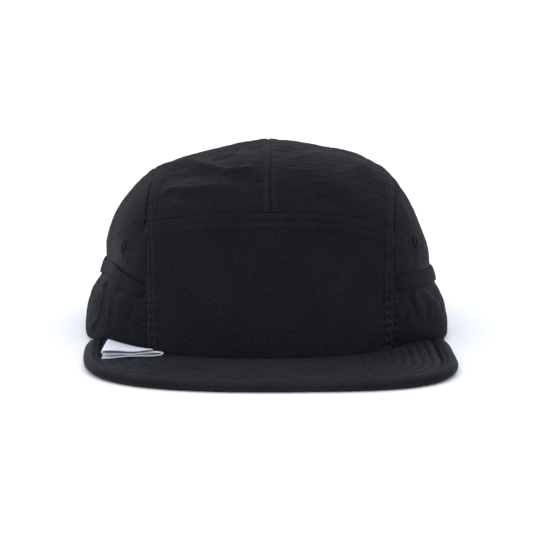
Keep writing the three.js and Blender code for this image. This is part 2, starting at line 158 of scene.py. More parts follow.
crown = {
    "height": 94, "halfWidth": 90, "frontReach": 97, "backReach": 101, "wall": 1.4, "planPower": 2.25,
    "sidePower": 2.15, "frontPower": 2.65, "heartHeight": 12, "foldDepth": 4, "seamGap": 0.03,
}
frontPanel = {"halfWidth": 60, "height": 71.5, "cornerDrop": 11.4, "cornerTilt": 2.4, "cornerPower": 2.6}
topPanel = {"lean": 3.8, "halfWidthAtTop": 57, "halfWidthAtBack": 46}
sidePanel = {"cornerOver": 152}
peak = {
    "length": 54.8, "halfWidth": 89.3, "sideShift": -1.2, "frontShift": 16.5, "plateThickness": 4.2,
    "edgeThickness": 5.6, "edgeWidth": 8, "widestSetback": 12, "frontPower": 2.85, "endPower": 2,
    "endTurn": 68, "taperTurn": 14, "taperTilt": 4, "tipSize": 1.2, "frontShare": 0.76, "restGap": 0.3,
}
strap = {"width": 6.8, "thickness": 1.2, "height": 34, "gap": 0.35, "pull": 2.6, "reach": 10}

# turn and rise in degrees, heading in degrees, long and wide as shares of the half width, lift of foldDepth
folds = [
    (82, 45, 0, 0.62, 0.28, 1.4), (65, 53, 5, 0.45, 0.08, 0.25), (80, -3, 0, 0.45, 0.17, 0.45),
    (-88, 44, 0, 0.45, 0.25, 0.5), (88, 60, 0, 0.35, 0.12, 0.35), (-90, 72, 0, 0.35, 0.18, -1.35),
    (67, -5, 0, 0.17, 0.13, 0.6), (46, -5, 0, 0.2, 0.2, -0.6), (-84, 58, 32, 0.2, 0.07, 0.4),
    (-50, 61, -15, 0.24, 0.07, 0.35), (-38, 54, 0, 0.3, 0.07, -0.3), (-36, 48, 5, 0.3, 0.07, 0.35),
    (-82, 17, 8, 0.42, 0.2, -1.45), (165, 38, 10, 0.3, 0.12, -0.45), (-160, 50, 20, 0.3, 0.1, 0.35),
]
# turn, height as a share of the strap's own, and how deep it draws the cloth in
strapLine = np.array([
    (-180, 0.85, 0.7), (-140, 0.78, 1.1), (-105, 0.85, 1.2), (-85, 1, 0.8), (-67, 1.075, 0.85),
    (-53, 1.035, 0.8), (-41, 0.985, 0.2), (41, 1.04, 0.2), (59, 0.985, 0.75), (75, 0.9, 0.85),
    (90, 0.81, 0.9), (115, 0.73, 1), (180, 0.85, 0.7),
])
heart = np.array([0, 0, crown["heartHeight"]], float)


def mix(a, b, share):
    return a + (b - a) * share


def ease(low, high, value):
    t = np.clip((value - low) / (high - low), 0, 1)
    return t * t * (3 - 2 * t)


def points(x, y, z):
    return np.stack(np.broadcast_arrays(x, y, z), axis=-1).astype(float)


def unit(vectors):
    return vectors / np.maximum(norm(vectors, axis=-1, keepdims=True), 1e-9)


def turnOf(p):
    return np.degrees(np.arctan2(p[..., 0], -p[..., 1]))


def strapValue(turn, column):
    # a smooth line through the table's rows, which closes behind the crown
    around = np.concatenate([strapLine[-2:-1] - [360, 0, 0], strapLine, strapLine[1:2] + [360, 0, 0]])
    slopes = (around[2:, column] - around[:-2, column]) / (around[2:, 0] - around[:-2, 0])
    after = np.clip(np.searchsorted(strapLine[:, 0], turn), 1, len(strapLine) - 1)
    a, b = strapLine[after - 1], strapLine[after]
    span = b[..., 0] - a[..., 0]
    t = (turn - a[..., 0]) / span
    bend = slopes[after - 1] * span * t * (1 - t) ** 2 - slopes[after] * span * t * t * (1 - t)
    return mix(a[..., column], b[..., column], t * t * (3 - 2 * t)) + bend


def strapHeight(turn):
    return strap["height"] * strapValue(turn, 1)


def crownFill(p):
    x, y, z = p[..., 0], p[..., 1], p[..., 2]
    reach = np.where(y < 0, crown["frontReach"], crown["backReach"])
    facing = np.maximum(0, -y / np.maximum(np.hypot(x, y), 1e-9)) ** 2
    power, plan = mix(crown["sidePower"], crown["frontPower"], facing), crown["planPower"]
    level = (np.abs(x) / crown["halfWidth"]) ** plan + (np.abs(y) / reach) ** plan
    return level ** (power / plan) + (np.maximum(0, z) / crown["height"]) ** power - 1


def halve(near, far, within):
    # the greatest distance from near to far that is still within, found by halving
    for step in range(26):
        middle = (near + far) / 2
        keep = within(middle)
        near, far = np.where(keep, middle, near), np.where(keep, far, middle)
    return near


def meet(start, direction):
    near = np.zeros(np.broadcast(start, direction).shape[:-1])
    away = halve(near, near + 400, lambda at: crownFill(start + direction * at[..., None]) < 0)
    return start + direction * away[..., None]


def frontPoint(x, z):
    return meet(points(x, 0, z), np.array([0, -1, 0]))


def backPoint(x, z):
    return meet(points(x, 0, z), np.array([0, 1, 0]))


def overPoint(x, over):
    return meet(points(x, 0, crown["heartHeight"]), points(0, -np.cos(over), np.sin(over)))


def levelPoint(turn, z):
    angle = np.radians(turn)
    return meet(points(0, 0, z), points(np.sin(angle), -np.cos(angle), 0))


def outwards(turn, rise):
    turn, rise = np.radians(turn), np.radians(rise)
    return points(np.sin(turn) * np.cos(rise), -np.cos(turn) * np.cos(rise), np.sin(rise))


def foldPlace(turn, rise, heading):
    out = outwards(turn, rise)
    level = unit(np.cross([0, 0, 1], out))
    heading = radians(heading)
    return meet(heart, out), level * cos(heading) + np.cross(out, level) * sin(heading)


foldPlaces = [(*foldPlace(*row[:3]), *row[3:]) for row in folds]


def foldLift(p):
    lift = 0
    for centre, run, long, wide, share in foldPlaces:
        away = p - centre
        ahead = away @ run
        aside = np.sqrt(np.maximum(0, (away**2).sum(-1) - ahead**2))
        fade = (ahead / (long * crown["halfWidth"])) ** 2 + (aside / (wide * crown["halfWidth"])) ** 2
        lift = lift + share * crown["foldDepth"] * np.exp(-fade)
    turn = turnOf(p)
    off = np.abs(p[..., 2] - strapHeight(turn)) / strap["reach"]
    onWall = ease(0, crown["halfWidth"] / 2, np.hypot(p[..., 0], p[..., 1]))
    return lift - onWall * strap["pull"] * strapValue(turn, 2) * np.exp(-(off**3))


def clothe(p, depth):
    out = p - heart
    out[..., 2] = np.maximum(0, out[..., 2])
    return p + unit(out) * (foldLift(p) - depth)[..., None]


def placeOn(turn, z, lift):
    # a point on the cloth, then the ways round the crown, up it and out of it
    def skin(t, h):
        return clothe(levelPoint(t, h), 0)

    turn, z = np.broadcast_arrays(np.asarray(turn, float), np.asarray(z, float))
    level = unit(skin(turn + 1, z) - skin(turn - 1, z))
    out = unit(np.cross(level, skin(turn, z + 1) - skin(turn, z - 1)))
    return skin(turn, z) + out * np.asarray(lift, float)[..., None], level, np.cross(out, level), out


def plateTop(turn):
    start = peak["endTurn"] - peak["taperTurn"] - np.sign(turn) * peak["taperTilt"]
    taper = ease(start, peak["endTurn"], np.abs(turn))
    return mix(peak["plateThickness"], peak["tipSize"], taper)


def rimHeight(turn):
    past = ease(peak["endTurn"] + 1, peak["endTurn"] + peak["taperTurn"] - peak["taperTilt"], np.abs(turn))
    return mix(plateTop(turn) + peak["restGap"], 0, past)


def frontTop(x):
    sideways = np.abs(x) / frontPanel["halfWidth"]
    drop = frontPanel["cornerDrop"] + np.sign(x) * frontPanel["cornerTilt"]
    return frontPanel["height"] - drop * sideways ** frontPanel["cornerPower"]


def frontRim(x):
    return rimHeight(turnOf(frontPoint(x, 0)))


def overOf(p):
    return np.arctan2(p[..., 2] - crown["heartHeight"], -p[..., 1])


def startOver(x):
    return overOf(frontPoint(x, frontTop(x)))


def endOver(x):
    return overOf(backPoint(x, 0)) + 2 * pi


def seamStart(side):
    return startOver(np.array(side * frontPanel["halfWidth"]))


def topHalfWidth(over, side):
    rising = ease(seamStart(side), pi / 2, over)
    falling = ease(pi / 2, pi, over)
    width = mix(frontPanel["halfWidth"], topPanel["halfWidthAtTop"], rising)
    return mix(width, topPanel["halfWidthAtBack"], falling)


def topLean(over):
    start = startOver(np.array(0.0))
    return topPanel["lean"] * ease(start, pi / 2, over) * (1 - ease(pi / 2, pi, over))


# Cloth: seeded noise, seams and creases

def noise(p, seed):
    # smooth, from about -1 to 1, one swell to a unit
    slopes = unit(np.random.default_rng(seed).normal(size=(32, 32, 32, 3)))
    cell = np.floor(p).astype(int)
    part = p - cell
    blend = part * part * part * (part * (part * 6 - 15) + 10)
    total = 0
    for corner in np.ndindex(2, 2, 2):
        slope = slopes[tuple((cell[..., axis] + corner[axis]) % 32 for axis in range(3))]
        share = np.prod([blend[..., i] if corner[i] else 1 - blend[..., i] for i in range(3)], axis=0)
        total = total + share * ((part - np.array(corner)) * slope).sum(-1)
    return total * 1.6


def flatNoise(u, v, seed):
    return noise(points(u, v, 0.5), seed)


crush = {"bend": 0.9, "sharp": 2.2, "floor": -0.6, "ridge": 0.6, "small": 0.5}


def crinkle(u, v, long, short, seed):
    # thin cloth crushed into small sharp ridges, long in u and short in v
    bend = crush["bend"] * flatNoise(u / long, v / long, seed)
    ridge = 1 - crush["sharp"] * np.abs(flatNoise(u / long + bend, v / short + bend, seed + 1))
    small = flatNoise(u / long * 2.3 + bend, v / short * 1.9, seed + 2)
    return crush["ridge"] * np.maximum(ridge, crush["floor"]) + crush["small"] * small


cloth = {
    "pitch": 0.85, "thickness": 1.1, "edgeRoll": 0.14, "edgeRollWidth": 0.5, "allowance": 0.42,
    "stitchPull": 0.22, "stitchWidth": 0.6, "pucker": 0.3, "puckerLength": 4.5, "puckerReach": 3.2,
    "rung": 4.3, "rungReach": 2.4, "stitchLength": 2.6, "stitchPitch": 3.3, "rowStart": 1, "thread": 0.42,
    "threadRise": 0.35, "smoothAngle": 55,
}
# near a seam the cloth is held: how far in, and the share of each lift that is left there
held = {"reach": 7, "crease": 0.6, "swell": 0.3, "crinkle": 0.5, "underStrap": 0.15}
# how pale the cloth is: on the flat; a painted highlight for a lift, full at fullLift, and painted shade in a
# dip; a painted highlight on the ridge inside a seam, ridgeWidth wide; painted light low on the front panel
# where the peak shades it, thinning upwards by fade, with top taken off all over the front
paleness = {
    "flat": 0.35, "paintedLightOnLift": 0.35, "fullLift": 0.9, "ridge": 0.25, "ridgeWidth": 0.6, "fade": 1.3, "top": 0.15,
}

# Creases of the thin cloth: places as turn and rise in degrees, then lift and half width in millimetres.
creases = [
    ([(-98, 59), (-62, 62), (-41, 60), (-25, 57), (-16, 58), (-6, 61)], 1.6, 2.2),
    ([(-62, 62), (-64, 65), (-60, 69)], 1, 2),
    ([(-76, 67), (-61, 70), (-48, 73), (-50, 79)], 1.3, 2.4),
    ([(-54, 45), (-46, 45.5), (-37, 46), (-30, 47), (-20, 49)], 1.1, 1.8),
    ([(-46, 41), (-37, 40), (-30, 41)], 0.4, 1.8),
    ([(31, 51), (42, 52), (61, 54), (94, 52)], 0.6, 2.2),
    ([(9, 56), (18, 57), (28, 55)], 0.4, 2),
    ([(12, 44), (22, 45), (30, 44)], 0.35, 2),
    ([(20, 66), (40, 68), (65, 65)], 0.5, 3),
    ([(-74, 14), (-71, 11), (-66, 8), (-63, 5), (-64, 1), (-69, -3), (-78, -6)], 1.1, 1.8),
    ([(-51, 10), (-50, 7), (-48, 3)], -1, 2.4),
    ([(-44, 11), (-45, 6), (-45, 2)], -0.8, 2),
    ([(-58, 11), (-57, 6), (-56, 0)], 0.6, 1.8),
    ([(52, 12), (58, 8), (68, 3)], 0.9, 3),
    ([(45, 12), (49, 6), (50, 0)], -0.6, 2.4),
    ([(38, 11), (41, 7), (42, 1)], 0.5, 1.8),
    ([(120, 30), (140, 28), (158, 33)], 0.7, 3),
    ([(-125, 34), (-145, 30), (-165, 34)], 0.8, 3),
    ([(150, 60), (175, 56), (-160, 60)], 0.7, 3),
]
creaseEnd = 9  # each crease fades out over this length
creaseLines = [(meet(heart, outwards(*np.array(line, float).T)), lift, wide) for line, lift, wide in creases]


def creaseLift(p):
    total = np.zeros(p.shape[:-1])
    for line, lift, wide in creaseLines:
        near = np.full(p.shape[:-1], 1e9)
        for a, b in zip(line[:-1], line[1:]):
            run = b - a
            share = np.clip(((p - a) @ run) / (run @ run), 0, 1)
            near = np.minimum(near, norm(p - a - share[..., None] * run, axis=-1))
        ends = np.minimum(norm(p - line[0], axis=-1), norm(p - line[-1], axis=-1))
        total = total + lift * np.exp(-((near / wide) ** 2)) * ease(0, creaseEnd, ends)
    return total


gathers = {
    "spacing": 6, "lift": 0.806, "below": 13, "above": 4, "aboveShare": 0.5, "lean": 0.12, "start": (39, 46),
    "seed": 11,
}


def gatherLift(p):
    # the strap gathers the side's cloth into upright folds that fade below and above it
    turn = turnOf(p)
    wayRound = np.radians(turn) * crown["halfWidth"]
    away = p[..., 2] - strapHeight(turn)
    clear = np.maximum(0, np.abs(away) - strap["width"] / 2)
    above = gathers["aboveShare"] * np.exp(-clear / gathers["above"])
    fade = np.where(away < 0, np.exp(-clear / gathers["below"]), above)
    fade = fade * ease(-0.5, 2.5, clear) * ease(*gathers["start"], np.abs(turn)) * ease(0, 8, p[..., 2])
    lean = p[..., 2] * gathers["lean"]
    wide = flatNoise((wayRound + lean) / gathers["spacing"], p[..., 2] / 45, gathers["seed"])
    narrow = flatNoise((wayRound - lean) / gathers["spacing"] * 2.1, p[..., 2] / 25, gathers["seed"] + 1)
    return gathers["lift"] * (wide + 0.5 * narrow) * fade


def arcs(grid, axis):
    steps = norm(np.diff(grid, axis=axis), axis=-1)
    start = np.zeros_like(np.take(steps, [0], axis=axis))
    return np.concatenate([start, np.cumsum(steps, axis=axis)], axis=axis)


def gridNormals(grid):
    across, up = np.gradient(grid, axis=1), np.gradient(grid, axis=0)
    return unit(np.cross(across, up))


def seamLift(distance, along, rows, seed, ladder):
    lift = -cloth["edgeRoll"] * np.exp(-((distance / cloth["edgeRollWidth"]) ** 2))
    last = rows[-1] if rows else 0
    if rows:
        inAllowance = (1 - ease(last - 0.3, last + 1.2, distance)) * ease(0, 0.8, distance)
        lift += cloth["allowance"] * inAllowance
    pucker = flatNoise(along / cloth["puckerLength"], distance / 30, seed)
    fade = np.exp(-((np.maximum(0, distance - last) / cloth["puckerReach"]) ** 2))
    lift += cloth["pucker"] * pucker * fade * ease(0.2, 1.2, distance)
    # the seam draws the cloth up into a ladder of small puckers
    rungs = np.cos(2 * pi * along / cloth["rung"] + 2 * pucker)
    reach = np.exp(-(((distance - last / 2 - 1.2) / cloth["rungReach"]) ** 2)) * (1 - ease(24, 34, along))
    lift += ladder * rungs * reach
    for row in rows:
        lift -= cloth["stitchPull"] * np.exp(-(((distance - row) / cloth["stitchWidth"]) ** 2))
    return lift


def named(name):
    piece = bpy.context.active_object
    piece.name = piece.data.name = name
    return piece


def newGrid(name, columns, rows):
    # a flat grid, and the rows and columns of its vertices
    deselect()
    bpy.ops.mesh.primitive_grid_add(x_subdivisions=columns, y_subdivisions=rows, size=2)
    piece = named(name)
    flat = np.zeros(len(piece.data.vertices) * 3, np.float32)
    piece.data.vertices.foreach_get("co", flat)
    flat = flat.reshape(-1, 3)
    column = np.rint((flat[:, 0] + 1) / 2 * columns).astype(int)
    row = np.rint((flat[:, 1] + 1) / 2 * rows).astype(int)
    return piece, (row, column)


def setCrest(piece, values):
    crest = piece.data.attributes.new("crest", "FLOAT", "POINT")
    crest.data.foreach_set("value", np.broadcast_to(values, len(crest.data)).astype(np.float32))


def layOut(piece, spots, places, u, v, crest):
    # the UV map is the cloth laid flat, in metres
    u, v, crest = (np.broadcast_to(values, places.shape[:2])[spots] for values in (u, v, crest))
    piece.data.vertices.foreach_set("co", ((places[spots] + shift) * mm).astype(np.float32).ravel())
    piece.data.update()
    corner = np.zeros(len(piece.data.loops), np.int32)
    piece.data.loops.foreach_get("vertex_index", corner)
    flat = np.stack([u, v], axis=-1)[corner] * mm
    piece.data.uv_layers[0].data.foreach_set("uv", flat.astype(np.float32).ravel())
    setCrest(piece, crest)


def thicken(piece, thickness, offset=-1):
    solid = piece.modifiers.new("thickness", "SOLIDIFY")
    solid.thickness = thickness * mm
    solid.offset = offset
    solid.use_rim = True
    applyModifiers(piece, cloth["smoothAngle"])


def applyModifiers(piece, smoothAngle):
    deselect()
    piece.select_set(True)
    bpy.context.view_layer.objects.active = piece
    for modifier in list(piece.modifiers):
        bpy.ops.object.modifier_apply(modifier=modifier.name)
    bpy.ops.object.shade_smooth_by_angle(angle=radians(smoothAngle))


def faceOutwards():
    setMode("EDIT")
    bpy.ops.mesh.select_all(action="SELECT")
    bpy.ops.mesh.normals_make_consistent(inside=False)
    setMode("OBJECT")
    bpy.ops.object.shade_smooth()


stitchRows = {"crown": [], "brim": []}


def addStitchRow(kind, row):
    # a row is a list of places on the cloth, each with the cloth's normal there
    line, normals = np.array(row).transpose(1, 0, 2)
    start = cloth["rowStart"]
    along = arcs(line[None], 1)[0]
    count = int((along[-1] - 2 * start) / cloth["stitchPitch"])
    for i in range(count):
        here = start + (i + 0.5) * cloth["stitchPitch"]
        ends = [here - cloth["stitchLength"] / 2, here + cloth["stitchLength"] / 2]
        a, b, out = [
            np.array([np.interp(at, along, source[:, k]) for k in range(3)])
            for at, source in ((ends[0], line), (ends[1], line), (here, normals))
        ]
        stitchRows[kind].append((a, b, out))


def rowAt(grid, normals, distance, wanted, axis):
    # the line at a distance from an edge, over the grid
    if axis == 0:
        grid, normals, distance = grid.transpose(1, 0, 2), normals.transpose(1, 0, 2), distance.T
    found = []
    for places, outward, away in zip(grid, normals, distance):
        order = np.argsort(away)
        found.append([[np.interp(wanted, away[order], source[order, k]) for k in range(3)]
                      for source in (places, outward)])
    return found


def clothPanel(name, size, bareAt, seams, texture, seed, hole=None):
    columns, rows = (int(length / cloth["pitch"]) for length in size)
    piece, spots = newGrid(name.replace("panel", "cloth"), columns, rows)
    across, up = np.meshgrid(np.linspace(0, 1, columns + 1), np.linspace(0, 1, rows + 1))
    bare = bareAt(across, up)
    base = clothe(bare, 0)
    u, v = arcs(base, 1), arcs(base, 0)
    distance = {"left": u, "right": u[:, -1:] - u, "bottom": v, "top": v[-1:] - v}
    edge = np.minimum.reduce(list(distance.values()))
    free = ease(0, held["reach"], edge)
    lift = creaseLift(bare) * mix(held["crease"], 1, free) + gatherLift(bare)
    swell = noise(bare / texture["size"], seed)
    lift += texture["swell"] * swell * mix(held["swell"], 1, free)
    fine = crinkle(u, v, texture["long"], texture["short"], seed + 20)
    lift += texture["crinkle"] * fine * mix(held["crinkle"], 1, free)
    upright = [side for side in seams if side in ("left", "right")]
    for number, (side, stitches) in enumerate(seams.items()):
        along, ladder = (v, texture["ladder"]) if side in upright else (u, 0)
        lift += seamLift(distance[side], along, stitches, seed + 40 + number, ladder)
    turn = turnOf(bare)
    fromStrap = (bare[..., 2] - strapHeight(turn)) / strap["width"]
    under = np.exp(-(fromStrap**4)) * ease(38, 43, np.abs(turn))
    lift *= mix(1, held["underStrap"], under)
    places = base + gridNormals(base) * lift[..., None]
    # painted highlight where the cloth is lifted and painted shade where it dips
    crest = paleness["flat"] + paleness["paintedLightOnLift"] * np.clip(lift / paleness["fullLift"], -1, 1)
    # painted light on the front panel's lower part, where the peak's shade falls; a little darker at its top
    crest += texture["pale"] * ((1 - v / v[-1:]) ** paleness["fade"] - paleness["top"])
    # a painted highlight on the raised ridge inside each upright seam
    for side in upright:
        if seams[side]:
            fromRidge = (distance[side] - seams[side][0] / 2) / paleness["ridgeWidth"]
            crest += paleness["ridge"] * np.exp(-(fromRidge**2))
    layOut(piece, spots, places, u, v, crest)
    normals = gridNormals(places)
    for side, stitches in seams.items():
        for wanted in stitches:
            addStitchRow("crown", rowAt(places, normals, distance[side], wanted, side in upright))
    cells = np.cross(np.diff(base, axis=1)[:-1], np.diff(base, axis=0)[:, :-1])
    area = norm(cells, axis=-1).sum()
    print(name, "flat", round(u[:, -1].max()), "by", round(v[-1].max()), "mm, area", round(area / 1e6, 5))
    if hole is not None:
        centre, radius = hole
        setMode("EDIT")
        bpy.ops.mesh.select_all(action="DESELECT")
        setMode("OBJECT")
        for vertex in piece.data.vertices:
            away = np.array(vertex.co) / mm - shift - centre
            vertex.select = bool(norm(away) < radius)
        setMode("EDIT")
        bpy.ops.mesh.delete(type="VERT")
        setMode("OBJECT")
    thicken(piece, cloth["thickness"])
    finishPiece(piece, name)
    return piece


def finishPiece(piece, node):
    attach(piece, "root")
    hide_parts(node)


# Panels

def frontAt(across, up):
    x = mix(-1, 1, across) * (frontPanel["halfWidth"] - crown["seamGap"] / 2)
    return frontPoint(x, mix(frontRim(x), frontTop(x) - crown["seamGap"] / 2, up))


seamEnd = endOver(np.array(topPanel["halfWidthAtBack"]))
seamCorner = radians(sidePanel["cornerOver"])


def topAt(side):
    def at(across, back):
        across = across if side > 0 else 1 - across
        seamOver = mix(seamStart(side), seamEnd, back)
        gap = crown["seamGap"] / 2
        x = mix(gap, topHalfWidth(seamOver, side) - gap, across)
        first = mix(gap, frontPanel["halfWidth"] - gap, across)
        last = mix(gap, topPanel["halfWidthAtBack"] - gap, across)
        start = startOver(side * first) + crown["seamGap"] / crown["frontReach"]
        over = mix(start, endOver(last), back)
        return overPoint(side * x + topLean(over), over)

    return at


def sideAt(side):
    gap = crown["seamGap"] / 2
    x = frontPanel["halfWidth"] + gap

    def front(high):
        return frontPoint(x, mix(frontRim(np.array(x)), frontTop(side * frontPanel["halfWidth"]), high))

    def topSeam(over):
        return overPoint(topHalfWidth(over, side) + gap + side * topLean(over), over)

    def back(high):
        return topSeam(mix(seamEnd, seamCorner, high))

    corners = [[edge(np.array(high)) for high in (0.0, 1.0)] for edge in (front, back)]
    rimStart, rimEnd = turnOf(corners[0][0]), turnOf(corners[1][0])

    def at(across, up):
        across = across if side > 0 else 1 - across
        turn = mix(rimStart, rimEnd, across)
        a, h = across[..., None], up[..., None]
        p = levelPoint(turn, rimHeight(side * turn)) * (1 - h)
        p = p + topSeam(mix(seamStart(side), seamCorner, across)) * h
        p = p + front(up) * (1 - a) + back(up) * a
        p = p - (corners[0][0] * (1 - h) + corners[0][1] * h) * (1 - a)
        p = p - (corners[1][0] * (1 - h) + corners[1][1] * h) * a
        inner = (across > 0) & (across < 1) & (up > 0) & (up < 1)
        p = np.where(inner[..., None], meet(heart, unit(p - heart)), p)
        return p * np.array([side, 1, 1])

    return at


eyelet = {
    "turn": 59, "height": 50, "ring": 2.15, "cord": 0.95, "flatness": 0.7, "proud": 0.35, "cut": 2.3,
    "wraps": 34, "wrapRelief": 0.1, "unevenness": 0.04,
}
# pale is painted light on the lower part of a panel, where the peak's shade falls
panelTexture = {
    "front": {"swell": 0.25, "size": 26, "crinkle": 0.1, "long": 6, "short": 3, "ladder": 0.5, "pale": 0.65},
    "top": {"swell": 0.8, "size": 24, "crinkle": 0.28, "long": 9, "short": 3.4, "ladder": 0, "pale": 0},
    "side": {"swell": 0.55, "size": 20, "crinkle": 0.2, "long": 5, "short": 4.4, "ladder": 0.3, "pale": 0},
}
# each seam's rows of stitches, in from the panel's edge
frontSeams = {"left": [2.8, 6.6], "right": [2.8, 6.6], "top": [4.6, 9], "bottom": []}
crownPieces = [clothPanel("front_panel", (137, 76), frontAt, frontSeams, panelTexture["front"], 100)]
bothSides = {"left": 1, "right": -1}
for name, side in bothSides.items():
    seams = {name: [4], "right" if side > 0 else "left": [1.5, 4.2, 6.8], "bottom": [], "top": []}
    crownPieces.append(clothPanel("top_panel_" + name, (60, 250), topAt(side), seams, panelTexture["top"],
                                  200 + 50 * side))
for name, side in bothSides.items():
    centre = placeOn(side * eyelet["turn"], eyelet["height"], 0)[0]
    seams = {name: [1.6], "right" if side > 0 else "left": [1.6], "top": [1.6, 4], "bottom": []}
    crownPieces.append(clothPanel("side_panel_" + name, (190, 76), sideAt(side), seams, panelTexture["side"],
                                  400 + 50 * side, (centre, eyelet["cut"])))
print("panels made")

# Brim: two cloths over a stiff board, sewn round in rows, with a padded edge

brim = {
    "columns": 400, "boardRows": 96, "edgeRows": 14, "underRows": 40, "firstRow": 8.2, "rowPitch": 4.6,
    "rows": 9, "groove": 0.24, "grooveWidth": 0.7, "middleGroove": 0.45, "puff": 0.15, "pucker": 0.16,
    "puckerLength": 5, "crinkle": 0.12, "crinkleLong": 9, "crinkleShort": 2.6, "wave": 0.25, "waveSize": 38,
    "welt": 0.55, "weltWidth": 0.38, "roll": 0.4, "rollSetback": 1.5, "rollWidth": 0.9, "rootRise": 0.4,
    "clearance": 0.05, "underShare": 0.3, "fewest": 12, "rootClear": 1.2,
    # how pale the cloth is: at the edge and more on the board; painted light in the middle, with painted shade
    # towards each side, more to the right; painted bounce light low down and inside the roll; painted
    # highlight on lifts and painted shade in grooves, full at fullLift; darker at the seam round the edge
    "pale": 0.26, "paleBoard": 0.2, "paintedLightMiddle": 0.4, "paintedShadeRight": 2.4, "paintedShadeLeft": 1.44, "paintedBounceLow": 0.35,
    "paintedBounceWall": 0.15, "fullLift": 1.8, "darkSeam": 0.35, "seamWidth": 0.45,
}
brimRows = [brim["firstRow"] + number * brim["rowPitch"] for number in range(brim["rows"])]


def brimEdge(run, end):
    middleY = peak["widestSetback"] - crown["frontReach"]
    share = np.abs(run) / peak["frontShare"]
    past = np.maximum(0, (share - 1) / (1 / peak["frontShare"] - 1))
    halfWidth = peak["halfWidth"] + np.sign(run) * peak["sideShift"]
    pastX = halfWidth - (halfWidth - end[..., 0]) * past ** peak["endPower"]
    behind = points(np.sign(run) * pastX, mix(middleY, end[..., 1], past), 0)
    angle = np.minimum(share, 1) * pi / 2
    x, y = np.sin(angle) / halfWidth, np.cos(angle) / (peak["length"] + peak["widestSetback"])
    radius = (x ** peak["frontPower"] + y ** peak["frontPower"]) ** (-1 / peak["frontPower"])
    sideways = peak["frontShift"] * np.cos(angle) ** 2
    ahead = points(np.sign(run) * np.sin(angle) * radius + sideways, middleY - np.cos(angle) * radius, 0)
    return np.where((share > 1)[..., None], behind, ahead)


def brimRoot(turn):
    root = clothe(levelPoint(turn, rimHeight(turn)), crown["wall"])
    root[..., 2] = 0
    return root


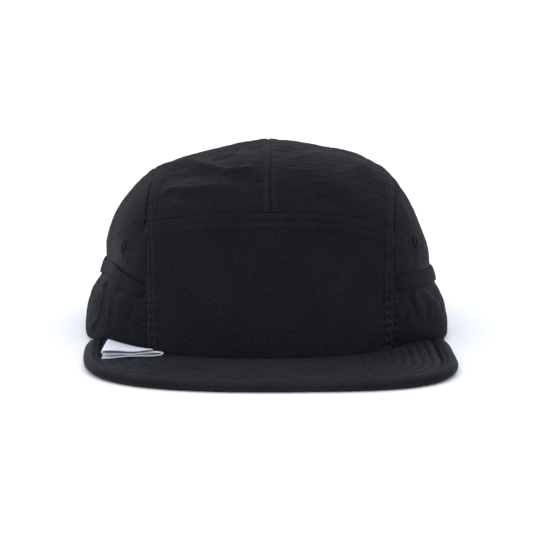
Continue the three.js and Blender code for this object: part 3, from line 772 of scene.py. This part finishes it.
def makeBrim():
    rows = 2 * brim["edgeRows"] + brim["boardRows"] + brim["underRows"] + 1
    piece, spots = newGrid("brim_cloth", brim["columns"], rows)
    run = np.linspace(-1, 1, brim["columns"] + 1)
    turn = run * peak["endTurn"]
    root, end = brimRoot(turn), brimRoot(np.array(peak["endTurn"]))
    edge = brimEdge(run, end)
    width = np.maximum(norm(edge - root, axis=-1), peak["tipSize"])
    out = unit(edge - root)
    edgeWidth = np.minimum(peak["edgeWidth"], width / 2)
    thick = ease(peak["edgeWidth"] / 2, 3 * peak["edgeWidth"], width)
    edgeTop = mix(plateTop(turn), peak["edgeThickness"], thick)
    # shares of the way over the section: board from the crown out, round the edge, and back underneath
    board = np.linspace(0, 1, brim["boardRows"] + 1)
    arc = np.sin(np.linspace(0, pi / 2, brim["edgeRows"] + 1))[1:]
    under = np.linspace(1, 0, brim["underRows"] + 1)
    boardShare = np.concatenate([board, np.ones(2 * brim["edgeRows"] - 1), under, [0]])
    edgeShare = np.concatenate([board * 0, arc, arc[::-1][1:], under * 0, [0]])
    below = np.concatenate([board * 0, arc * 0, np.ones(brim["edgeRows"] - 1), under * 0 + 1, [0]])[:, None]
    reach = boardShare[:, None] * (width - edgeWidth) + edgeShare[:, None] * edgeWidth
    places = root + out * reach[..., None]
    fine = np.linspace(-1, 1, 3000)
    tree = KDTree(len(fine))
    for number, place in enumerate(brimEdge(fine, end)):
        tree.insert(place, number)
    tree.balance()
    near = [tree.find(place) for place in places.reshape(-1, 3)]
    away = np.array([found[2] for found in near]).reshape(places.shape[:2])
    along = np.array([found[1] for found in near]).reshape(places.shape[:2]) * 0.1
    half = edgeTop / 2
    inEdge = np.clip(away / edgeWidth, 0, 1)
    dome = np.sqrt(np.maximum(0, 1 - (1 - np.minimum(1, inEdge * 2)) ** 2))
    dip = ease(0.5, 1.02, inEdge)
    edgeHigh = mix(half + half * dome, plateTop(turn), dip)
    lift = np.zeros_like(away)
    for number, at in enumerate(brimRows):
        depth, wide = (brim["groove"], brim["grooveWidth"]) if number else (brim["welt"], brim["weltWidth"])
        depth = depth * mix(brim["middleGroove"], 1, ease(0.3, 0.75, np.abs(run))) if number else depth
        lift -= depth * np.exp(-(((away - at) / wide) ** 2))
    fromRoll = (away - brim["firstRow"] + brim["rollSetback"]) / brim["rollWidth"]
    lift += brim["roll"] * np.exp(-(fromRoll**2))
    phase = (away - brim["firstRow"]) / brim["rowPitch"]
    onBoard = ease(0.9, 1.1, away / edgeWidth)
    lift += brim["puff"] * onBoard * (0.5 - 0.5 * np.cos(2 * pi * phase))
    pucker = flatNoise(along / brim["puckerLength"] + 0.08 * phase, phase * 0.7, 61)
    lift += brim["pucker"] * pucker * (0.4 + onBoard)
    lift += brim["crinkle"] * crinkle(along, away, brim["crinkleLong"], brim["crinkleShort"], 62)
    thin = ease(2, 5, width) * ease(1.5, 5, reach)
    wave = brim["wave"] * noise(places / brim["waveSize"], 63)
    meeting = brim["rootRise"] * (1 - ease(0.5, 2.6, reach)) * ease(5, 12, width)
    topHigh = edgeHigh + (lift * ease(0, 0.3, inEdge) + wave) * thin + meeting
    quilted = brim["underShare"] * np.minimum(0, lift) * onBoard * thin
    underHigh = half * (1 - dome) * (1 - dip) + brim["clearance"] - quilted
    places[..., 2] = np.where(below > 0, underHigh, topHigh)
    fromSeam = (places[..., 2] - half) / brim["seamWidth"]
    seamed = brim["darkSeam"] * np.exp(-(fromSeam**2)) * (inEdge < 0.25)
    # painted light in the middle of the peak and painted shade towards its ends, more towards the right seen
    # from the front
    paintedSideShade = np.maximum(brim["paintedShadeRight"] * run, -brim["paintedShadeLeft"] * run)
    crest = brim["pale"] + brim["paleBoard"] * onBoard + brim["paintedLightMiddle"] * (1 - paintedSideShade)
    # painted bounce light low on the edge, where the floor would light it
    crest += brim["paintedBounceLow"] * (1 - ease(0.1, 1.1, places[..., 2] / half))
    # painted bounce light on the roll's inner wall; painted highlight on lifts and painted shade in grooves
    crest += brim["paintedBounceWall"] * (1 - onBoard) * dip + lift / brim["fullLift"] - seamed
    layOut(piece, spots, places, arcs(places, 1), arcs(places, 0), np.clip(crest, 0, 1))
    addBrimRows(places, away)
    setMode("EDIT")
    bpy.ops.mesh.select_all(action="SELECT")
    bpy.ops.mesh.remove_doubles(threshold=2e-6)
    bpy.ops.mesh.select_all(action="DESELECT")
    bpy.ops.mesh.select_non_manifold()
    bpy.ops.mesh.fill_holes(sides=0)
    setMode("OBJECT")
    faceOutwards()
    finishPiece(piece, "brim")
    return piece


def addBrimRows(places, away):
    # stitches follow each groove, column by column, where the board is deep enough to hold it; a stretch
    # of too few columns gets none
    board = slice(0, brim["boardRows"] + 1)
    top, normals, gone = places[board], -gridNormals(places[board]), away[board]
    for at in brimRows:
        line = []
        for column in range(top.shape[1]):
            order = np.argsort(gone[:, column])
            depths = gone[order, column]
            if depths[0] < at < depths[-1] - brim["rootClear"]:
                line.append([[np.interp(at, depths, source[order, column, k]) for k in range(3)]
                             for source in (top, normals)])
            elif len(line) > brim["fewest"]:
                addStitchRow("brim", line)
                line = []
        if len(line) > brim["fewest"]:
            addStitchRow("brim", line)


brimPiece = makeBrim()
print("brim made")

# Strap, slider and eyelets

band = {
    "columns": 420, "rows": 12, "thickness": 1.0, "edgeDrop": 0.35, "ripple": 0.12, "rippleLength": 14,
    "tuck": 3.5, "sunk": 0.3, "unevenness": 0.04, "unevenLength": 23,
}
slider = {"length": 9, "wall": 1.3, "clearance": 0.2, "bevel": 0.5, "smoothAngle": 40}


def strapLift(turn):
    half = degrees(slider["length"] / 2 / crown["backReach"])
    passing = 1 - ease(1.3 * half, 5 * half, 180 - np.abs(turn))
    return strap["gap"] + passing * (slider["wall"] + slider["clearance"])


def makeStrap():
    piece, spots = newGrid("woven_strap", band["columns"], band["rows"])
    start = turnOf(frontPoint(np.array(frontPanel["halfWidth"] + 0.2), strap["height"]))
    turn = mix(start, 360 - start, np.linspace(0, 1, band["columns"] + 1))
    turn = np.where(turn > 180, turn - 360, turn)
    origin, level, up, out = placeOn(turn, strapHeight(turn), strapLift(turn))
    along = arcs(origin[None], 1)[0]
    ends = np.minimum(along, along[-1] - along)
    side = np.linspace(-1, 1, band["rows"] + 1)[:, None]
    high = strap["thickness"] - band["edgeDrop"] * side**4
    high = high + band["ripple"] * flatNoise(along / band["rippleLength"], side * 0.6, 71)
    high = high - (strap["gap"] + strap["thickness"] + band["sunk"]) * (1 - ease(0, band["tuck"], ends))
    uneven = band["unevenness"] * flatNoise(along / band["unevenLength"], 0 * along, 72)
    half = strap["width"] / 2 * (1 + uneven)
    places = origin + up * (side * half)[..., None] + out * high[..., None]
    layOut(piece, spots, places, along, (side + 1) * strap["width"] / 2, 0.5 - 0.5 * side**4)
    thicken(piece, band["thickness"])
    finishPiece(piece, "strap")
    return piece, along[-1]


strapPiece, strapLength = makeStrap()
print("strap made,", round(strapLength), "mm long")


def onCloth(turn, z, lift):
    # the matrix that sets a piece made flat at the origin onto the crown's cloth
    origin, level, up, out = placeOn(turn, z, lift)
    columns = [*(Vector(v).to_4d() for v in (level, up, out)), Vector((origin + shift) * mm).to_4d()]
    for vector, last in zip(columns, (0, 0, 0, 1)):
        vector[3] = last
    return Matrix(columns).transposed()


def makeSlider():
    deselect()
    bpy.ops.mesh.primitive_plane_add(size=1)
    piece = named("strap_loop")
    deep, tall = [strap[size] / 2 + slider["clearance"] + slider["wall"] for size in ("thickness", "width")]
    setMode("EDIT")
    bpy.ops.mesh.select_mode(type="FACE")
    bpy.ops.mesh.select_all(action="SELECT")
    bpy.ops.transform.resize(value=(2 * tall * mm, 2 * deep * mm, 1))
    bpy.ops.mesh.inset(thickness=slider["wall"] * mm)
    bpy.ops.mesh.delete(type="FACE")
    bpy.ops.mesh.select_mode(type="VERT")
    setMode("OBJECT")
    thicken(piece, slider["length"], 0)
    # stood up so that the strap passes through it
    piece.data.transform(Matrix(((0, 0, 1, 0), (1, 0, 0, 0), (0, 1, 0, 0), (0, 0, 0, 1))))
    bevel = piece.modifiers.new("moulded edges", "BEVEL")
    bevel.width, bevel.segments = slider["bevel"] * mm, 3
    applyModifiers(piece, slider["smoothAngle"])
    piece.data.transform(onCloth(180, strapHeight(180), strapLift(180) + strap["thickness"] / 2))
    finishPiece(piece, "strap_slider")
    return piece


def makeEyelet(name, side):
    deselect()
    rings = []
    for height in (eyelet["proud"], -cloth["thickness"] - eyelet["proud"]):
        bpy.ops.mesh.primitive_torus_add(
            major_radius=eyelet["ring"] * mm, minor_radius=eyelet["cord"] * mm,
            major_segments=eyelet["wraps"] * 6, minor_segments=14,
        )
        ring = bpy.context.active_object
        for vertex in ring.data.vertices:
            # threads lie across the ring, wrap beside wrap
            place = vertex.co / mm
            angle = atan2(place.y, place.x)
            middle = Vector((cos(angle), sin(angle), 0)) * eyelet["ring"]
            wrap = 1 + eyelet["wrapRelief"] * cos(eyelet["wraps"] * angle)
            wrap = wrap + eyelet["unevenness"] * sin(5 * angle + side)
            place = middle + (place - middle) * wrap
            vertex.co = Vector((place.x, place.y, place.z * eyelet["flatness"] + height)) * mm
        rings.append(ring)
    for ring in rings:
        ring.select_set(True)
    bpy.context.view_layer.objects.active = rings[0]
    bpy.ops.object.join()
    piece = named(name + "_embroidery")
    bpy.ops.object.shade_smooth()
    setCrest(piece, 1)
    piece.data.transform(onCloth(side * eyelet["turn"], eyelet["height"], 0))
    finishPiece(piece, name)
    return piece


sliderPiece = makeSlider()
eyeletPieces = [makeEyelet("eyelet_" + name, side) for name, side in bothSides.items()]
print("slider and eyelets made")

# Label: one ribbon folded in three plies. along is a share of its width from its outer end, high is the
# ply's height above the brim in front and low the same at the seam, in millimetres.
label = {
    "width": 30.5, "left": -82.3, "front": -93.9, "turn": 10, "lean": 4.5, "ply": 0.42, "columns": 26,
    "rows": 120, "clearance": 0.15, "ripple": 0.12, "tuck": 0.3,
}
ribbonPath = np.array([
    (0.02, 0.25, 0.25), (0.15, 0.4, 0.25), (0.3, 0.7, 0.25), (0.45, 0.85, 0.25), (0.6, 0.7, 0.25),
    (0.75, 0.45, 0.25), (0.9, 0.5, 0.25), (0.97, 0.75, 0.3), (1.0, 1.15, 0.45), (0.97, 1.6, 0.6),
    (0.9, 1.95, 0.65), (0.75, 2.05, 0.65), (0.6, 1.75, 0.65), (0.45, 1.65, 0.65), (0.3, 2.05, 0.65),
    (0.15, 2.25, 0.65), (0.05, 2.4, 0.68), (0.005, 3.0, 0.8), (0.0, 3.6, 0.95), (0.04, 4.15, 1.05),
    (0.15, 4.1, 1.1), (0.3, 3.8, 1.1), (0.45, 3.2, 1.1), (0.6, 3.1, 1.1), (0.72, 3.5, 1.1), (0.8, 3.55, 1.1),
])


def makeLabel():
    piece, spots = newGrid("folded_ribbon", label["columns"], label["rows"])
    steps = np.hypot(np.diff(ribbonPath[:, 0]) * 30, np.diff(ribbonPath[:, 1]))
    knots = np.concatenate([[0], np.cumsum(steps)])
    at = np.linspace(0, knots[-1], label["rows"] + 1)
    path = np.stack([np.interp(at, knots, ribbonPath[:, k]) for k in range(3)], axis=-1)
    for smoothing in range(3):
        path[1:-1] = (path[:-2] + 2 * path[1:-1] + path[2:]) / 4
    back = np.linspace(0, 1, label["columns"] + 1)
    along, high, low = (path[:, k][:, None] for k in range(3))
    x = label["left"] + along * label["width"]
    y = label["front"] + along * label["width"] * tan(radians(label["turn"]))
    z = peak["plateThickness"] + label["clearance"]
    run = np.array([sin(radians(label["lean"])), cos(radians(label["lean"])), 0])
    start = points(x + 0 * high, y + 0 * high, z + 1 + 0 * high)
    depth = ribbonDepth(start[:, 0], run)
    ripple = flatNoise(along * 6, back * 4 + high, 81) * (1 - back)
    z = z + mix(high, low, back**1.3) + label["ripple"] * ripple
    places = start + run * (back[None] * depth[:, None])[..., None]
    places[..., 2] = z
    u, v = arcs(places, 1), arcs(places, 0)
    layOut(piece, spots, places, u, v, 0.5)
    print("ribbon flat", round(u[:, -1].mean(), 1), "by", round(v[-1].mean(), 1), "mm")
    thicken(piece, label["ply"], 0)
    finishPiece(piece, "brim_label")
    return piece


def ribbonDepth(start, run):
    # how far each line of the ribbon goes back before it meets the crown's cloth
    far = np.abs(start[:, 1])
    depth = halve(0 * far, far, lambda at: crownFill(start + run * at[:, None]) > 0)
    return depth + label["tuck"]


labelPiece = makeLabel()
print("label made")

# Stitches: one grain of thread, copied along every row


def makeStitches(name, rows, paler):
    deselect()
    bpy.ops.mesh.primitive_uv_sphere_add(segments=6, ring_count=4, radius=1)
    piece = named(name)
    grain = np.array([vertex.co for vertex in piece.data.vertices])
    faces = [face.vertices for face in piece.data.polygons]
    a, b, out = (np.array([stitch[k] for stitch in rows]) for k in range(3))
    middle, half = (a + b) / 2, (b - a) / 2
    out = unit(out)
    side = unit(np.cross(out, half)) * cloth["thread"] / 2
    lift = out * cloth["thread"] / 2
    places = (middle + lift * cloth["threadRise"])[:, None] + grain[:, 2, None] * half[:, None]
    places = places + grain[:, 0, None] * side[:, None] + grain[:, 1, None] * lift[:, None]
    count = len(grain)
    mesh = bpy.data.meshes.new(name)
    everyFace = [[index + number * count for index in face] for number in range(len(rows)) for face in faces]
    mesh.from_pydata(((places.reshape(-1, 3) + shift) * mm).tolist(), [], everyFace)
    piece.data = mesh
    faceOutwards()
    setCrest(piece, paler)
    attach(piece, "root")
    print(name, len(rows), "stitches")
    return piece


# the slot and how pale each kind is; the brim's stitches are painted fully pale, painted light that hides the
# small shadows round them
stitchKinds = {"crown": ("crown_cloth", 0.2), "brim": ("peak_cloth", 1.0)}
stitchPieces = [makeStitches(kind + "_stitches", stitchRows[kind], paler)
                for kind, (slot, paler) in stitchKinds.items()]

# Materials


def clothMaterial(name, look):
    # Nylon taffeta: thin filament yarn in a plain weave, washed so that it crushes into small sharp creases.
    # The eye gets a dull, slightly blue black. The crest attribute mixes it towards the high tone: painted
    # highlight on creases, painted shade in dips and other painted light. The other looks are the same yarn,
    # set anew.
    material, tree = newMaterial(name)
    flat = addNode(tree, "ShaderNodeUVMap", {"uv_map": "UVMap"}).outputs[0]
    crest = addNode(tree, "ShaderNodeAttribute", {"attribute_name": "crest"}).outputs["Fac"]
    cloud = addNode(tree, "ShaderNodeTexNoise", {"Scale": 1000 / look["cloud"], "Detail": 3},
                    {"Vector": flat}).outputs["Fac"]
    stretch = addNode(tree, "ShaderNodeMapping", {"Scale": look["stretch"]}, {"Vector": flat}).outputs[0]
    creasing = addNode(tree, "ShaderNodeTexNoise",
                       {"noise_type": "RIDGED_MULTIFRACTAL", "Scale": 1000 / look["crease"], "Detail": 3,
                        "Roughness": 0.55}, {"Vector": stretch}).outputs["Fac"]
    yarns = [addNode(tree, "ShaderNodeTexWave",
                     {"bands_direction": way, "Scale": 314 / look["yarn"], "Distortion": 0.5, "Detail": 1},
                     {"Vector": flat}).outputs["Fac"] for way in "XY"]
    weave = addNode(tree, "ShaderNodeMath", {"operation": "MULTIPLY"}, dict(enumerate(yarns))).outputs[0]
    crumb = addNode(tree, "ShaderNodeTexNoise", {"Scale": 1000 / look["crumb"], "Detail": 2},
                    {"Vector": flat}).outputs["Fac"]
    tones = {"data_type": "RGBA", 6: colour(look["low"]), 7: colour(look["high"])}
    tone = addNode(tree, "ShaderNodeMix", tones, {0: crest}).outputs[2]
    fleck = look["fleck"]
    for source, settings in (
        (cloud, {"To Min": 0.75, "To Max": 1.25}), (weave, {"To Min": 0.9, "To Max": 1.15}),
        (crumb, {"From Min": 0.25, "From Max": 0.75, "To Min": 1 - fleck, "To Max": 1 + fleck}),
    ):
        shade = addNode(tree, "ShaderNodeMapRange", settings, {"Value": source}).outputs[0]
        tone = addNode(tree, "ShaderNodeVectorMath", {"operation": "SCALE"},
                       {0: tone, "Scale": shade}).outputs[0]
    rough = addNode(tree, "ShaderNodeMapRange",
                    {"To Min": look["rough"] - 0.08, "To Max": look["rough"] + 0.08}, {"Value": creasing})
    links = {}
    for height, depth in ((creasing, "creaseDepth"), (crumb, "crumbDepth"), (weave, "yarnDepth")):
        bump = addNode(tree, "ShaderNodeBump", {"Strength": 1, "Distance": look[depth] * mm},
                       {"Height": height, **links})
        links = {"Normal": bump.outputs[0]}
    shader = addNode(tree, "ShaderNodeBsdfPrincipled",
                     {"Specular IOR Level": look["gloss"], "Sheen Weight": look["sheen"],
                      "Sheen Roughness": 0.45, "Sheen Tint": colour("#aeb6c8")},
                     {"Base Color": tone, "Roughness": rough.outputs[0], **links})
    addNode(tree, "ShaderNodeOutputMaterial", links={"Surface": shader.outputs[0]})
    return material


# sizes in millimetres; fleck is how much the crumb changes the tone
plain = {
    "cloud": 9, "stretch": (1, 1, 1), "crease": 2, "creaseDepth": 0.03, "crumb": 1, "fleck": 0.3,
    "crumbDepth": 0.01, "yarn": 0.6, "yarnDepth": 0.02, "gloss": 0.03, "sheen": 0,
}
looks = {
    "crinkledNylon": {
        "cloud": 18, "stretch": (1, 2.2, 1), "crease": 9, "creaseDepth": 0.18, "crumb": 1.5,
        "crumbDepth": 0.07, "yarn": 0.8, "low": "#0f1013", "high": "#1f2024", "rough": 0.7, "sheen": 0.01,
    },
    "brimNylon": {
        "cloud": 22, "stretch": (1, 1.4, 1), "crease": 8, "creaseDepth": 0.14, "crumb": 1.4,
        "crumbDepth": 0.07, "yarn": 0.8, "low": "#121316", "high": "#28282c", "rough": 0.66, "gloss": 0.05,
        "sheen": 0.015,
    },
    "wovenTape": {
        "cloud": 30, "stretch": (0.2, 1, 1), "crease": 3, "creaseDepth": 0.04, "fleck": 0.15,
        "crumbDepth": 0.03, "yarn": 1.1, "yarnDepth": 0.05, "low": "#131417", "high": "#1b1c1f",
        "rough": 0.75,
    },
    "polyesterThread": {
        "crumb": 0.8, "fleck": 0.1, "crumbDepth": 0.02, "low": "#111215", "high": "#222328", "rough": 0.6,
        "gloss": 0.06,
    },
    "satinRibbon": {
        "cloud": 12, "crease": 5, "fleck": 0.02, "low": "#e8eaf2", "high": "#f0f2f8", "rough": 0.5,
        "gloss": 0.3, "sheen": 0.1,
    },
    "mouldedNylon": {
        "creaseDepth": 0.02, "crumb": 0.7, "fleck": 0.04, "yarn": 0.5, "yarnDepth": 0.005, "low": "#0e0e10",
        "high": "#141416", "rough": 0.42, "gloss": 0.25,
    },
}
dressed = {
    "crinkledNylon": crownPieces, "brimNylon": [brimPiece, stitchPieces[1]], "wovenTape": [strapPiece],
    "polyesterThread": [*eyeletPieces, stitchPieces[0]], "satinRibbon": [labelPiece],
    "mouldedNylon": [sliderPiece],
}
for name, wearers in dressed.items():
    material = clothMaterial(name, {**plain, **looks[name]})
    for piece in wearers:
        piece.data.materials.append(material)
print("materials made")
